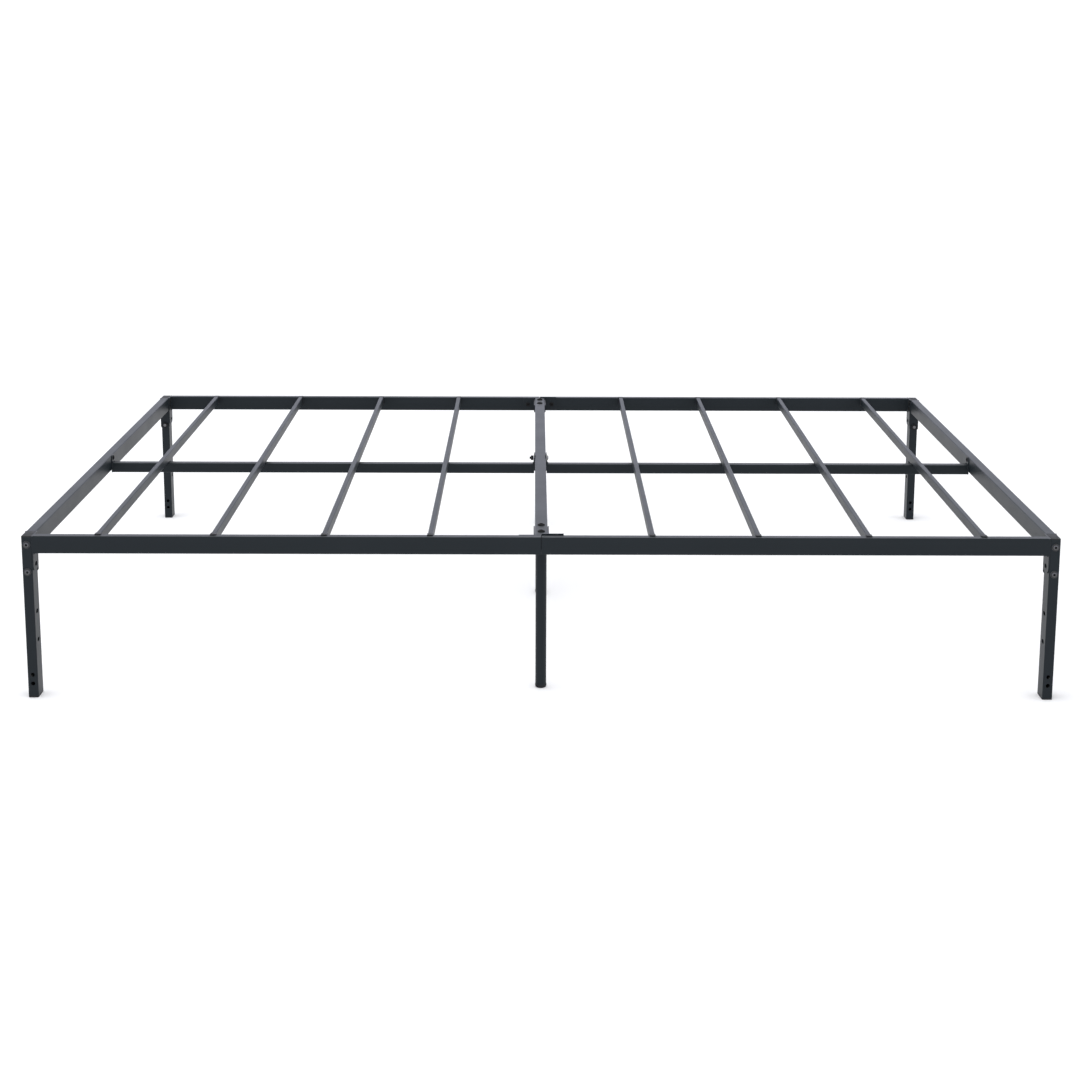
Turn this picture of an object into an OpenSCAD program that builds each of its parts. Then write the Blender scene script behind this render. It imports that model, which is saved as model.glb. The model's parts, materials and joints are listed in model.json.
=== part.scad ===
// Bolted steel bed frame: four corner legs, side rails in two halves, end rails, a crossbar
// with middle legs, a low centre rail and slats. X runs along the bed, Y across it, Z up.
// The origin is on the floor under the middle of the frame.

/* [Overall size] */
// Length over the corner legs
frame_l = 2032; // [1880:1:2134]
// Width over the corner legs
frame_w = 1524; // [1340:1:1930]
// Height of the rail tops above the floor
rail_top = 330; // [290:1:460]

/* [Tubes] */
// Corner leg tube, size along the bed
leg_x = 20; // [20:1:26]
// Corner leg tube, size across the bed
leg_y = 40; // [38:1:50]
// Side and end rail tube, thickness
rail_t = 20; // [18:1:20]
// Side and end rail tube, height
rail_h = 35; // [34:1:40]
// Wall of the leg, rail, crossbar and centre rail tubes
wall = 1.5; // [1.2:0.1:1.8]
// Crossbar tube, width
cross_w = 25; // [24:1:28]
// Crossbar tube, height
cross_h = 20; // [20:1:22]
// Centre rail tube, side of the square
centre_s = 22; // [20:1:22]
// Slat tube, width
slat_w = 10; // [10:1:14]
// Slat tube, height
slat_h = 20; // [18:1:20]
// Slat tube, wall
slat_wall = 1.2; // [1:0.1:1.5]
// Middle leg tube, diameter
mid_d = 22; // [22:1:25]

/* [Layout] */
// How far the top of the centre rail lies below the rail tops
centre_drop = 18; // [16:1:18]
// Distance of the middle legs from the sides of the frame
mid_inset = 75; // [68:1:90]
// Distances of the slats of one half from the crossbar
slat_at = [218, 426, 643, 869]; // [150:1:900]

/* [Holes in the corner legs] */
// Heights of the two lower headboard slots
headboard_z = [115, 173]; // [90:1:190]
// Length of the headboard slots, across the bed
slot_l = 15; // [12:1:18]
// Heights of the two holes near the foot
foot_hole_z = [29, 47]; // [26:1:80]
// Diameter of the holes and width of the slots
hole_d = 8.6; // [8.4:0.1:9]

/* [Hidden] */
$fn = 48;
hx = frame_l / 2;
hy = frame_w / 2;
sides = [-1, 1];
corners = [[-1, -1], [1, -1], [-1, 1], [1, 1]];
corner_names = ["front_left", "front_right", "rear_left", "rear_right"];
half_names = ["left", "right"];
row_names = ["front", "rear"];
slat_x = concat([for (i = [3:-1:0]) -slat_at[i]], slat_at);
slat_ids = [for (i = [0:7]) str(i + 1)];

// Plates, welds and clearances
plate_t = 2.5;
tab_t = 2;
corner_r = 2;
fit_gap = 0.1;
butt_gap = 0.6;

// Heights
rail_mid = rail_top - rail_h / 2;
low_bolt_z = rail_mid - 55;
centre_top = rail_top - centre_drop;
centre_bottom = centre_top - centre_s;
cross_bottom = rail_top - cross_h;
saddle_bottom = cross_bottom - plate_t;

// Positions along and across the bed
leg_cx = hx - leg_x / 2;
leg_cy = hy - leg_y / 2;
rail_in_y = hy - rail_t;
rail_in_x = hx - rail_t;
side_plate_x = hx - leg_x;
side_rail_end = side_plate_x - plate_t;
end_plate_y = hy - leg_y;
end_rail_end = end_plate_y - plate_t;
centre_end_x = rail_in_x - tab_t;
mid_y = hy - mid_inset;
bolt_reach = 26;
near_bolt_y = mid_y + bolt_reach;
far_bolt_y = mid_y - bolt_reach;
saddle_end_y = far_bolt_y - 10;

// Fastener sizes: [shank radius, head diameter, head height, socket across flats, socket depth]
m8 = [3.95, 15, 4, 5, 2.4];
m6 = [2.95, 11, 3.2, 4, 1.9];
m8_nut = [13, 6.5];
m6_nut = [10, 5];
m6_hole_d = 6.6;
m6_lock_nut = [10, 6];
m6_washer = [16, 1.6];

// Side rail plate: two bolts beside the rail and the upper headboard slot below it
side_plate_low = rail_top - 72;
plate_slot_z = side_plate_low + 12;
side_bolt_z = [rail_mid - 8.5, rail_mid + 8.5];
side_bolt_y = rail_in_y - 11;
end_plate_low = rail_top - 81;
end_plate_w = leg_x + 3;

// Joint plate behind the two halves of a side rail, and the saddle that holds the crossbar
joint_half_l = 44;
joint_bolt_x = 32;
joint_step = 2.5;
saddle_gap = 0.2;
cheek_drop = 4;
cross_end_y = rail_in_y - plate_t - 0.5;

// Centre rail tabs and their bolts
cross_tab_low = centre_bottom + 6;
cross_tab_top = rail_top + 7;
cross_tab_w = 20;
end_tab_w = 24;
centre_bolt_z = cross_bottom + cross_h / 2 + 5;
end_bolt_z = rail_top - 7;

// Slat ends
slat_plug_l = 14;
slat_cap_t = 5;
slat_lip_l = 9;
slat_lip_h = 2;
slat_end_y = rail_in_y - slat_cap_t;

// Caps and feet
top_cap_t = 2;
foot_cap_t = 3;
cap_plug_l = 9;
foot_plug_l = 17;
glide_h = 7;
glide_d = mid_d + 1;
glide_r = 4;
glide_plug_l = 22;
leg_insert_l = 12;

NODES = concat(
    [for (n = corner_names) str("leg_", n)],
    [for (n = corner_names) str("leg_top_cap_", n)],
    [for (n = corner_names) str("leg_foot_cap_", n)],
    [for (n = corner_names) str("side_rail_", n)],
    [for (n = half_names) str("end_rail_", n)],
    [for (n = half_names) str("centre_rail_", n)],
    [for (n = row_names) str("joint_bracket_", n)],
    [for (n = row_names) str("middle_leg_", n)],
    [for (n = row_names) str("middle_leg_glide_", n)],
    ["crossbar", "centre_leg", "centre_leg_glide", "centre_leg_stud", "centre_leg_nut"],
    [for (n = slat_ids) str("slat_", n)],
    [for (n = slat_ids) str("slat_end_caps_", n)],
    ["leg_bolts", "leg_nuts", "m6_rail_bolts", "m6_weld_nuts", "crossbar_bolts", "crossbar_nuts",
     "centre_bolt", "centre_nut", "centre_washers"]
);
node = "all";

function wanted(name) = node == "all" || node == name;

// ---- Basic shapes ----

// Flat rectangle centred on the origin with all four corners rounded
module rounded_rect(w, h, r) {
    square([w - 2 * r, h], center = true);
    square([w, h - 2 * r], center = true);
    for (x = sides, y = sides)
        translate([x * (w / 2 - r), y * (h / 2 - r)]) circle(r);
}

// Upright tube of rectangular section, centred on Z, from z = 0 up
module box_tube(w, h, t, length, r = corner_r) {
    difference() {
        linear_extrude(length) rounded_rect(w, h, r);
        translate([0, 0, -1])
            linear_extrude(length + 2) rounded_rect(w - 2 * t, h - 2 * t, max(r - t, 0.4));
    }
}

// Tube along X from x0 to x1, size dy by dz, centred at y and z
module tube_x(x0, x1, y, z, dy, dz, t) {
    translate([min(x0, x1), y, z]) rotate([90, 0, 90]) box_tube(dy, dz, t, abs(x1 - x0));
}

// Tube along Y from y0 to y1, size dx by dz, centred at x and z
module tube_y(y0, y1, x, z, dx, dz, t) {
    translate([x, max(y0, y1), z]) rotate([90, 0, 0]) box_tube(dx, dz, t, abs(y1 - y0));
}

// Flat plate outline from z0 up to z1, width w, with its lower corners rounded
module plate_outline(w, z0, z1, r_low) {
    translate([-w / 2, z0 + r_low]) square([w, z1 - z0 - r_low]);
    translate([-w / 2 + r_low, z0]) square([w - 2 * r_low, r_low + 1]);
    for (x = sides) translate([x * (w / 2 - r_low), z0 + r_low]) circle(r_low);
}

// Plate across X (its normal is X), from x0 to x1
module plate_x(x0, x1, y, w, z0, z1, r_low) {
    translate([min(x0, x1), y, 0]) rotate([90, 0, 90])
        linear_extrude(abs(x1 - x0)) plate_outline(w, z0, z1, r_low);
}

// Plate across Y (its normal is Y), from y0 to y1
module plate_y(y0, y1, x, w, z0, z1, r_low) {
    translate([x, max(y0, y1), 0]) rotate([90, 0, 0])
        linear_extrude(abs(y1 - y0)) plate_outline(w, z0, z1, r_low);
}

// Holes along X, Y and Z, centred on their middle point
module hole_x(x, y, z, d, l) {
    translate([x, y, z]) rotate([0, 90, 0]) cylinder(d = d, h = l, center = true);
}

module hole_y(x, y, z, d, l) {
    translate([x, y, z]) rotate([90, 0, 0]) cylinder(d = d, h = l, center = true);
}

module hole_z(x, y, z, d, l) {
    translate([x, y, z]) cylinder(d = d, h = l, center = true);
}

// Slot through X with round ends, long across the bed
module slot_x(x, y, z, l) {
    reach = (slot_l - hole_d) / 2;
    hole_x(x, y - reach, z, hole_d, l);
    hole_x(x, y + reach, z, hole_d, l);
    translate([x - l / 2, y - reach, z - hole_d / 2]) cube([l, 2 * reach, hole_d]);
}

// ---- Fasteners ----

// Round-headed socket screw: the head stands up from z = 0, the shank hangs below it
module button_bolt(size, length) {
    shank_r = size[0];
    head_r = size[1] / 2;
    head_h = size[2];
    rim_h = head_h * 0.3;
    dome_h = head_h - rim_h;
    dome_r = (head_r * head_r + dome_h * dome_h) / (2 * dome_h);
    difference() {
        union() {
            intersection() {
                cylinder(r = head_r, h = head_h);
                translate([0, 0, head_h - dome_r]) sphere(dome_r, $fn = 96);
            }
            translate([0, 0, -length]) cylinder(r = shank_r, h = length + 0.5);
        }
        translate([0, 0, head_h - size[4]])
            cylinder(d = size[3] / cos(30), h = size[4] + 1, $fn = 6);
    }
}

// Hexagon nut from z = 0 up, with its thread as a plain bore for the given shank
module hex_nut(nut, shank_r) {
    difference() {
        rotate(30) cylinder(d = nut[0] / cos(30), h = nut[1], $fn = 6);
        translate([0, 0, -1]) cylinder(r = shank_r + 0.05, h = nut[1] + 2);
    }
}

// Point a fastener's +Z along a direction: sx turns it along X, sy along Y
module along_x(s) {
    rotate([0, s * 90, 0]) children();
}

module along_y(s) {
    rotate([-s * 90, 0, 0]) children();
}

// ---- Corner legs ----

module leg(sx, sy) {
    color("dimgray") difference() {
        translate([sx * leg_cx, sy * leg_cy, foot_cap_t])
            box_tube(leg_x, leg_y, wall, rail_top - top_cap_t - foot_cap_t);
        for (z = [rail_mid, low_bolt_z])
            hole_y(sx * leg_cx, sy * leg_cy, z, hole_d, leg_y + 2);
        for (z = foot_hole_z)
            hole_y(sx * leg_cx, sy * leg_cy, z, hole_d, leg_y + 2);
        for (z = concat(headboard_z, plate_slot_z))
            slot_x(sx * leg_cx, sy * leg_cy, z, leg_x + 2);
        for (z = side_bolt_z)
            hole_x(sx * side_plate_x, sy * side_bolt_y, z, m6_hole_d, 4 * wall);
    }
}

// Plug in the open end of a leg: a flat flange and a hollow shank, from z = 0 towards +Z
module tube_plug(flange_t, shank_l) {
    shank_w = leg_x - 2 * wall - 2 * fit_gap;
    shank_d = leg_y - 2 * wall - 2 * fit_gap;
    shank_wall = 2;
    linear_extrude(flange_t) rounded_rect(leg_x, leg_y, corner_r);
    translate([0, 0, flange_t - 0.5])
        box_tube(shank_w, shank_d, shank_wall, shank_l + 0.5, 1);
    translate([-shank_w / 2 + 1, -1, flange_t - 0.5]) cube([shank_w - 2, 2, shank_l + 0.5]);
}

module leg_foot_cap(sx, sy) {
    color("black") translate([sx * leg_cx, sy * leg_cy, 0]) tube_plug(foot_cap_t, foot_plug_l);
}

module leg_top_cap(sx, sy) {
    color("black") translate([sx * leg_cx, sy * leg_cy, rail_top])
        rotate([180, 0, 0]) tube_plug(top_cap_t, cap_plug_l);
}

// ---- Rails ----

// One half of a side rail, with the plate welded to its outer end
module side_rail(sx, sy) {
    rail_y = sy * (hy - rail_t / 2);
    color("dimgray") difference() {
        union() {
            tube_x(sx * butt_gap, sx * side_rail_end, rail_y, rail_mid, rail_t, rail_h, wall);
            plate_x(sx * side_rail_end, sx * side_plate_x, sy * leg_cy, leg_y,
                side_plate_low, rail_top, 12);
        }
        slot_x(sx * side_plate_x, sy * leg_cy, plate_slot_z, 4 * plate_t);
        for (z = side_bolt_z)
            hole_x(sx * side_plate_x, sy * side_bolt_y, z, m6_hole_d, 4 * plate_t);
        hole_y(sx * joint_bolt_x, sy * rail_in_y, rail_mid, m6_hole_d, 4 * wall);
    }
}

// End rail with a plate welded to each end
module end_rail(sx) {
    color("dimgray") difference() {
        union() {
            tube_y(-end_rail_end, end_rail_end, sx * (hx - rail_t / 2), rail_mid,
                rail_t, rail_h, wall);
            for (sy = sides)
                plate_y(sy * end_rail_end, sy * end_plate_y, sx * leg_cx, end_plate_w,
                    end_plate_low, rail_top, 5);
        }
        for (sy = sides, z = [rail_mid, low_bolt_z])
            hole_y(sx * leg_cx, sy * end_plate_y, z, hole_d, 4 * plate_t);
        hole_x(sx * rail_in_x, 0, end_bolt_z, m6_hole_d, 4 * wall);
    }
}

module crossbar() {
    color("slategray") difference() {
        tube_y(-cross_end_y, cross_end_y, 0, cross_bottom + cross_h / 2, cross_w, cross_h, wall);
        for (sy = sides, y = [near_bolt_y, far_bolt_y])
            hole_z(0, sy * y, rail_top - cross_h / 2, hole_d, cross_h + 2);
        hole_x(0, 0, centre_bolt_z, m6_hole_d, cross_w + 2);
        hole_z(0, 0, cross_bottom, hole_d, 4 * wall);
    }
}

// Half of the centre rail: an upturned tab at the crossbar and one at the end rail
module centre_rail(sx) {
    color("slategray") difference() {
        union() {
            tube_x(sx * (cross_w / 2 + tab_t), sx * centre_end_x, 0, centre_top - centre_s / 2,
                centre_s, centre_s, wall);
            upturned_tab(sx * cross_w / 2, sx, cross_tab_w, cross_tab_low, cross_tab_top);
            upturned_tab(sx * centre_end_x, sx, end_tab_w, centre_bottom, rail_top);
        }
        hole_x(sx * cross_w / 2, 0, centre_bolt_z, m6_hole_d, 4 * tab_t);
        hole_x(sx * centre_end_x, 0, end_bolt_z, m6_hole_d, 4 * tab_t);
    }
}

// Plate that starts at x and is one tab thickness deep, with its upper corners rounded
module upturned_tab(x, sx, w, z0, z1) {
    top_r = 6;
    translate([sx > 0 ? x : x - tab_t, 0, z0 + z1]) mirror([0, 0, 1])
        plate_x(0, tab_t, 0, w, z0, z1, top_r);
}

// ---- Joint bracket: a plate behind the rail joint, a saddle and a welded stud for the leg ----

module joint_bracket(sy) {
    back_y = rail_in_y - plate_t;
    cheek_x = cross_w / 2 + saddle_gap;
    cheek_top = rail_top - cheek_drop;
    cheek_corner = 4;
    plate_low = rail_top - rail_h + 2;
    color("dimgray") difference() {
        union() {
            translate([-joint_half_l, min(sy * back_y, sy * rail_in_y), plate_low])
                cube([2 * joint_half_l, plate_t, rail_top - plate_low]);
            translate([0, min(sy * back_y, sy * rail_in_y), plate_low])
                cube([joint_half_l, plate_t, rail_top + joint_step - plate_low]);
            translate([-cheek_x - plate_t, min(sy * back_y, sy * saddle_end_y), saddle_bottom])
                cube([2 * (cheek_x + plate_t), back_y - saddle_end_y, plate_t]);
            for (s = sides)
                translate([s > 0 ? cheek_x : -cheek_x - plate_t, 0, 0])
                    rotate([90, 0, 90]) linear_extrude(plate_t) polygon([
                        [sy * back_y, saddle_bottom],
                        [sy * back_y, cheek_top],
                        [sy * (saddle_end_y + cheek_corner), cheek_top],
                        [sy * saddle_end_y, cheek_top - cheek_corner],
                        [sy * saddle_end_y, saddle_bottom]
                    ]);
            translate([0, sy * mid_y, saddle_bottom - leg_insert_l + 1])
                cylinder(r = m8[0], h = leg_insert_l + 1);
        }
        for (y = [near_bolt_y, far_bolt_y])
            hole_z(0, sy * y, saddle_bottom, hole_d, 4 * plate_t);
        for (s = sides)
            hole_y(s * joint_bolt_x, sy * back_y, rail_mid, m6_hole_d, 4 * plate_t);
    }
}

// ---- Middle legs ----

// Round leg with a threaded insert welded into its upper end
module round_leg(y, top) {
    color("dimgray") translate([0, y, 0]) difference() {
        translate([0, 0, glide_h]) cylinder(d = mid_d, h = top - glide_h);
        translate([0, 0, glide_h - 1])
            cylinder(d = mid_d - 2 * wall, h = top - glide_h - leg_insert_l + 1);
        translate([0, 0, top - leg_insert_l - 1]) cylinder(r = m8[0] + 0.05, h = leg_insert_l + 2);
    }
}

// Moulded glide: a rounded foot with a hollow plug that fills the tube end
module glide(y) {
    plug_r = mid_d / 2 - wall - fit_gap;
    plug_bore_r = plug_r - 2;
    foot_r = glide_d / 2;
    color("black") translate([0, y, 0]) rotate_extrude() difference() {
        union() {
            square([foot_r - glide_r, glide_h]);
            translate([0, glide_r]) square([foot_r, glide_h - glide_r]);
            translate([foot_r - glide_r, glide_r]) intersection() {
                circle(glide_r);
                translate([0, -glide_r]) square(glide_r);
            }
            square([plug_r, glide_h + glide_plug_l]);
        }
        translate([0, glide_h]) square([plug_bore_r, glide_plug_l + 1]);
    }
}

// Threaded stud that ties the centre leg to the crossbar, and its nut inside the crossbar
module centre_leg_stud() {
    color("gray") translate([0, 0, cross_bottom - leg_insert_l])
        cylinder(r = m8[0], h = leg_insert_l + wall + m8_nut[1] - 0.5);
}

module centre_leg_nut() {
    color("gray") translate([0, 0, cross_bottom + wall]) hex_nut(m8_nut, m8[0]);
}

// ---- Slats ----

module slat(x) {
    color("slategray")
        tube_y(-slat_end_y, slat_end_y, x, centre_top + slat_h / 2, slat_w, slat_h, slat_wall);
}

// Moulded cap at each end of a slat: a plug, a flange and a lip that lies on the rail
module slat_end_caps(x) {
    cap_w = slat_w + 2;
    plug_w = slat_w - 2 * slat_wall - 2 * fit_gap;
    plug_h = slat_h - 2 * slat_wall - 2 * fit_gap;
    cap_low = centre_top - 1;
    color("black") for (sy = sides) translate([x, 0, 0]) mirror([0, sy < 0 ? 1 : 0, 0]) {
        translate([-cap_w / 2, slat_end_y, cap_low])
            cube([cap_w, slat_cap_t, rail_top + slat_lip_h - cap_low]);
        translate([-cap_w / 2, slat_end_y, rail_top])
            cube([cap_w, slat_cap_t + slat_lip_l, slat_lip_h]);
        translate([0, slat_end_y + 1, centre_top + slat_h / 2]) rotate([90, 0, 0])
            linear_extrude(slat_plug_l + 1) rounded_rect(plug_w, plug_h, 1);
    }
}

// ---- Fastener groups ----

// Bolts through each corner leg into the end rail plates, and their nuts
module leg_bolts() {
    color("black") for (c = corners, z = [rail_mid, low_bolt_z])
        translate([c[0] * leg_cx, c[1] * hy, z]) along_y(c[1]) button_bolt(m8, 50);
}

module leg_nuts() {
    color("black") for (c = corners, z = [rail_mid, low_bolt_z])
        translate([c[0] * leg_cx, c[1] * end_rail_end, z]) along_y(-c[1]) hex_nut(m8_nut, m8[0]);
}

// Short bolts: side rails to legs, joint brackets to side rails, centre rail to end rails
module m6_rail_bolts() {
    color("black") {
        for (c = corners) {
            for (z = side_bolt_z)
                translate([c[0] * side_rail_end, c[1] * side_bolt_y, z])
                    along_x(-c[0]) button_bolt(m6, 10);
            translate([c[0] * joint_bolt_x, c[1] * (rail_in_y - plate_t), rail_mid])
                along_y(-c[1]) button_bolt(m6, 10);
        }
        for (sx = sides)
            translate([sx * centre_end_x, 0, end_bolt_z]) along_x(-sx) button_bolt(m6, 10);
    }
}

module m6_weld_nuts() {
    color("gray") {
        for (c = corners) {
            for (z = side_bolt_z)
                translate([c[0] * (side_plate_x + wall), c[1] * side_bolt_y, z])
                    along_x(c[0]) hex_nut(m6_nut, m6[0]);
            translate([c[0] * joint_bolt_x, c[1] * (rail_in_y + wall), rail_mid])
                along_y(c[1]) hex_nut(m6_nut, m6[0]);
        }
        for (sx = sides)
            translate([sx * (rail_in_x + wall), 0, end_bolt_z])
                along_x(sx) hex_nut(m6_nut, m6[0]);
    }
}

// Bolts down through the crossbar and saddle on either side of each middle leg
module crossbar_bolts() {
    color("black") for (sy = sides, y = [near_bolt_y, far_bolt_y])
        translate([0, sy * y, rail_top]) button_bolt(m8, 32);
}

module crossbar_nuts() {
    color("black") for (sy = sides, y = [near_bolt_y, far_bolt_y])
        translate([0, sy * y, saddle_bottom - m8_nut[1]]) hex_nut(m8_nut, m8[0]);
}

// Long bolt that clamps both centre rail tabs to the crossbar
module centre_bolt() {
    color("black") translate([cross_w / 2 + tab_t + m6_washer[1], 0, centre_bolt_z])
        along_x(1) button_bolt(m6, cross_w + 2 * tab_t + 2 * m6_washer[1] + m6_lock_nut[1] + 3);
}

module centre_nut() {
    color("black") translate([-cross_w / 2 - tab_t - m6_washer[1], 0, centre_bolt_z])
        along_x(-1) hex_nut(m6_lock_nut, m6[0]);
}

module centre_washers() {
    color("silver") for (s = sides)
        translate([s * (cross_w / 2 + tab_t + m6_washer[1] / 2), 0, centre_bolt_z])
            rotate([0, 90, 0]) difference() {
                cylinder(d = m6_washer[0], h = m6_washer[1], center = true);
                cylinder(d = m6_hole_d, h = m6_washer[1] + 1, center = true);
            }
}

// ---- Assembly ----

for (i = [0:3]) {
    if (wanted(str("leg_", corner_names[i]))) leg(corners[i][0], corners[i][1]);
    if (wanted(str("leg_top_cap_", corner_names[i]))) leg_top_cap(corners[i][0], corners[i][1]);
    if (wanted(str("leg_foot_cap_", corner_names[i]))) leg_foot_cap(corners[i][0], corners[i][1]);
    if (wanted(str("side_rail_", corner_names[i]))) side_rail(corners[i][0], corners[i][1]);
}
for (i = [0:1]) {
    if (wanted(str("end_rail_", half_names[i]))) end_rail(sides[i]);
    if (wanted(str("centre_rail_", half_names[i]))) centre_rail(sides[i]);
    if (wanted(str("joint_bracket_", row_names[i]))) joint_bracket(sides[i]);
    if (wanted(str("middle_leg_", row_names[i]))) round_leg(sides[i] * mid_y, saddle_bottom);
    if (wanted(str("middle_leg_glide_", row_names[i]))) glide(sides[i] * mid_y);
}
for (i = [0:7]) {
    if (wanted(str("slat_", slat_ids[i]))) slat(slat_x[i]);
    if (wanted(str("slat_end_caps_", slat_ids[i]))) slat_end_caps(slat_x[i]);
}
if (wanted("crossbar")) crossbar();
if (wanted("centre_leg")) round_leg(0, cross_bottom);
if (wanted("centre_leg_glide")) glide(0);
if (wanted("centre_leg_stud")) centre_leg_stud();
if (wanted("centre_leg_nut")) centre_leg_nut();
if (wanted("leg_bolts")) leg_bolts();
if (wanted("leg_nuts")) leg_nuts();
if (wanted("m6_rail_bolts")) m6_rail_bolts();
if (wanted("m6_weld_nuts")) m6_weld_nuts();
if (wanted("crossbar_bolts")) crossbar_bolts();
if (wanted("crossbar_nuts")) crossbar_nuts();
if (wanted("centre_bolt")) centre_bolt();
if (wanted("centre_nut")) centre_nut();
if (wanted("centre_washers")) centre_washers();
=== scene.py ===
"""Bolted steel bed frame.

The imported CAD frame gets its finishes, and weld beads, threaded fasteners and moulded caps are built on it.
All sizes are in metres.
"""

import json
import math
import random

import bmesh
import bpy
import numpy as np
from mathutils import Matrix, Vector


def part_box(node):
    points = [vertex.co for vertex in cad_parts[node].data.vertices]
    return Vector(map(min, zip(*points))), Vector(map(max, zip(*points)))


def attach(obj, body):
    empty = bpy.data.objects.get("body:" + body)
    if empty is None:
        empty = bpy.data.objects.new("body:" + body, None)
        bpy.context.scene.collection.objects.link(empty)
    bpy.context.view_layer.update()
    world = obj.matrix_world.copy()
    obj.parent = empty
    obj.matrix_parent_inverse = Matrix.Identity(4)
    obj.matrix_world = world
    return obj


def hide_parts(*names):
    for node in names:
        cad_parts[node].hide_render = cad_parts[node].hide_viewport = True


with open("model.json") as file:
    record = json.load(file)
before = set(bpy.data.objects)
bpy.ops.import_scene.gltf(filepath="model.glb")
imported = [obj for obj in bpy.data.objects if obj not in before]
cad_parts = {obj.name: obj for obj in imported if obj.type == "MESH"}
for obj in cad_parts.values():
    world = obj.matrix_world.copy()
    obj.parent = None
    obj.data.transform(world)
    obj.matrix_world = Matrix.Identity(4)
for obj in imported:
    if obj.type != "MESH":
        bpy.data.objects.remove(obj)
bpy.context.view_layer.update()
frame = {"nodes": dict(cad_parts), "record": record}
random.seed(7)

MM = 0.001
BODY = "root"
CORNERS = {
    "front_left": (-1, -1),
    "front_right": (1, -1),
    "rear_left": (-1, 1),
    "rear_right": (1, 1),
}
ROWS = {"front": -1, "rear": 1}
HALVES = {"left": -1, "right": 1}

# Sizes of the CAD pieces that the beads, caps and fasteners follow
RAIL_T = 20 * MM
RAIL_H = 35 * MM
PLATE_T = 2.5 * MM
TAB_T = 2 * MM
CENTRE_S = 22 * MM
CROSS_W = 25 * MM
RAIL_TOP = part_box("end_rail_left")[1].z
WASHER_BORE_R = 3.3 * MM


def fastener(**sizes):
    """A screw and its nut, given in millimetres: shank radius, head diameter, socket and nut across flats."""
    return {name: size * MM for name, size in sizes.items()}


M8 = fastener(shank=3.95, head=15.0, head_h=4.0, socket=5.0, depth=2.4, pitch=1.25, nut=13.0, nut_h=6.5)
M6 = fastener(shank=2.95, head=11.0, head_h=3.2, socket=4.0, depth=1.9, pitch=1.0, nut=10.0, nut_h=6.0)


# ---------------------------------------------------------------- mesh building

BEVEL_ANGLE = 50  # degrees: only corners sharper than this are rounded


class Shape:
    """Collects the vertices and faces of one piece."""

    def __init__(self):
        self.verts = []
        self.faces = []

    def add_rings(self, rings, place=None, cap_first=False, cap_last=False):
        """Joins closed rings of equally many points with quads."""
        base = len(self.verts)
        count = len(rings[0])
        for ring in rings:
            for point in ring:
                p = Vector(point)
                self.verts.append(place @ p if place else p)
        for r in range(len(rings) - 1):
            low = base + r * count
            for i in range(count):
                j = (i + 1) % count
                self.faces.append((low + i, low + j, low + count + j, low + count + i))
        if cap_first:
            self.faces.append(tuple(base + i for i in reversed(range(count))))
        if cap_last:
            last = base + (len(rings) - 1) * count
            self.faces.append(tuple(last + i for i in range(count)))

    def finish(self, name, material, slot, replaces=(), sharp_deg=40, bevel=None, segments=2):
        """Makes the mesh object, gives it its material and parents it to the root body."""
        mesh = bpy.data.meshes.new(name)
        mesh.from_pydata([tuple(v) for v in self.verts], [], self.faces)
        mesh.validate()
        piece = bpy.data.objects.new(name, mesh)
        bpy.context.scene.collection.objects.link(piece)
        recalc_normals(mesh)
        for poly in mesh.polygons:
            poly.use_smooth = True
        mesh.set_sharp_from_angle(angle=math.radians(sharp_deg))
        mesh.materials.append(material)
        if bevel:
            modifier = piece.modifiers.new("edge_round", "BEVEL")
            modifier.width = bevel
            modifier.segments = segments
            modifier.limit_method = "ANGLE"
            modifier.angle_limit = math.radians(BEVEL_ANGLE)
            modifier.harden_normals = True
        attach(piece, BODY)
        if replaces:
            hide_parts(*replaces)


def recalc_normals(mesh):
    bm = bmesh.new()
    bm.from_mesh(mesh)
    bmesh.ops.recalc_face_normals(bm, faces=bm.faces)
    bm.to_mesh(mesh)
    bm.free()


def islands(node):
    """The box of each separate solid in a CAD node, as (lowest corner, highest corner)."""
    decimals = 6
    mesh = frame["nodes"][node].data
    co = np.array([v.co[:] for v in mesh.vertices])
    keys = {}
    parent = []
    which = []
    for point in np.round(co, decimals):
        key = tuple(point)
        if key not in keys:
            keys[key] = len(parent)
            parent.append(len(parent))
        which.append(keys[key])

    def root(i):
        while parent[i] != i:
            parent[i] = parent[parent[i]]
            i = parent[i]
        return i

    for poly in mesh.polygons:
        first = root(which[poly.vertices[0]])
        for v in poly.vertices[1:]:
            parent[root(which[v])] = first
    groups = {}
    for i, k in enumerate(which):
        groups.setdefault(root(k), []).append(i)
    boxes = [(Vector(co[g].min(0)), Vector(co[g].max(0))) for g in groups.values()]
    return sorted(boxes, key=lambda box: tuple(round(c, 4) for c in box[0]))


def facing(axis, sign, at):
    """Turns a piece's own +Z along X or Y, and puts its origin at a point."""
    if axis == "X":
        turn = Matrix.Rotation(math.radians(90 * sign), 4, "Y")
    elif axis == "Y":
        turn = Matrix.Rotation(math.radians(-90 * sign), 4, "X")
    else:
        turn = Matrix.Identity(4)
    return Matrix.Translation(at) @ turn


def circle(radius, z, count, phase=0.0):
    step = 2 * math.pi / count
    return [
        (radius * math.cos(i * step + phase), radius * math.sin(i * step + phase), z)
        for i in range(count)
    ]


def hex_radius(angle, flats):
    """Distance from the centre to the side of a hexagon with the given size across flats."""
    local = (angle + math.pi / 6) % (math.pi / 3) - math.pi / 6
    return flats / 2 / math.cos(local)


def hexagon(flats, z, count):
    ring = []
    for i in range(count):
        angle = i * (2 * math.pi / count)
        r = hex_radius(angle, flats)
        ring.append((r * math.cos(angle), r * math.sin(angle), z))
    return ring


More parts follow.
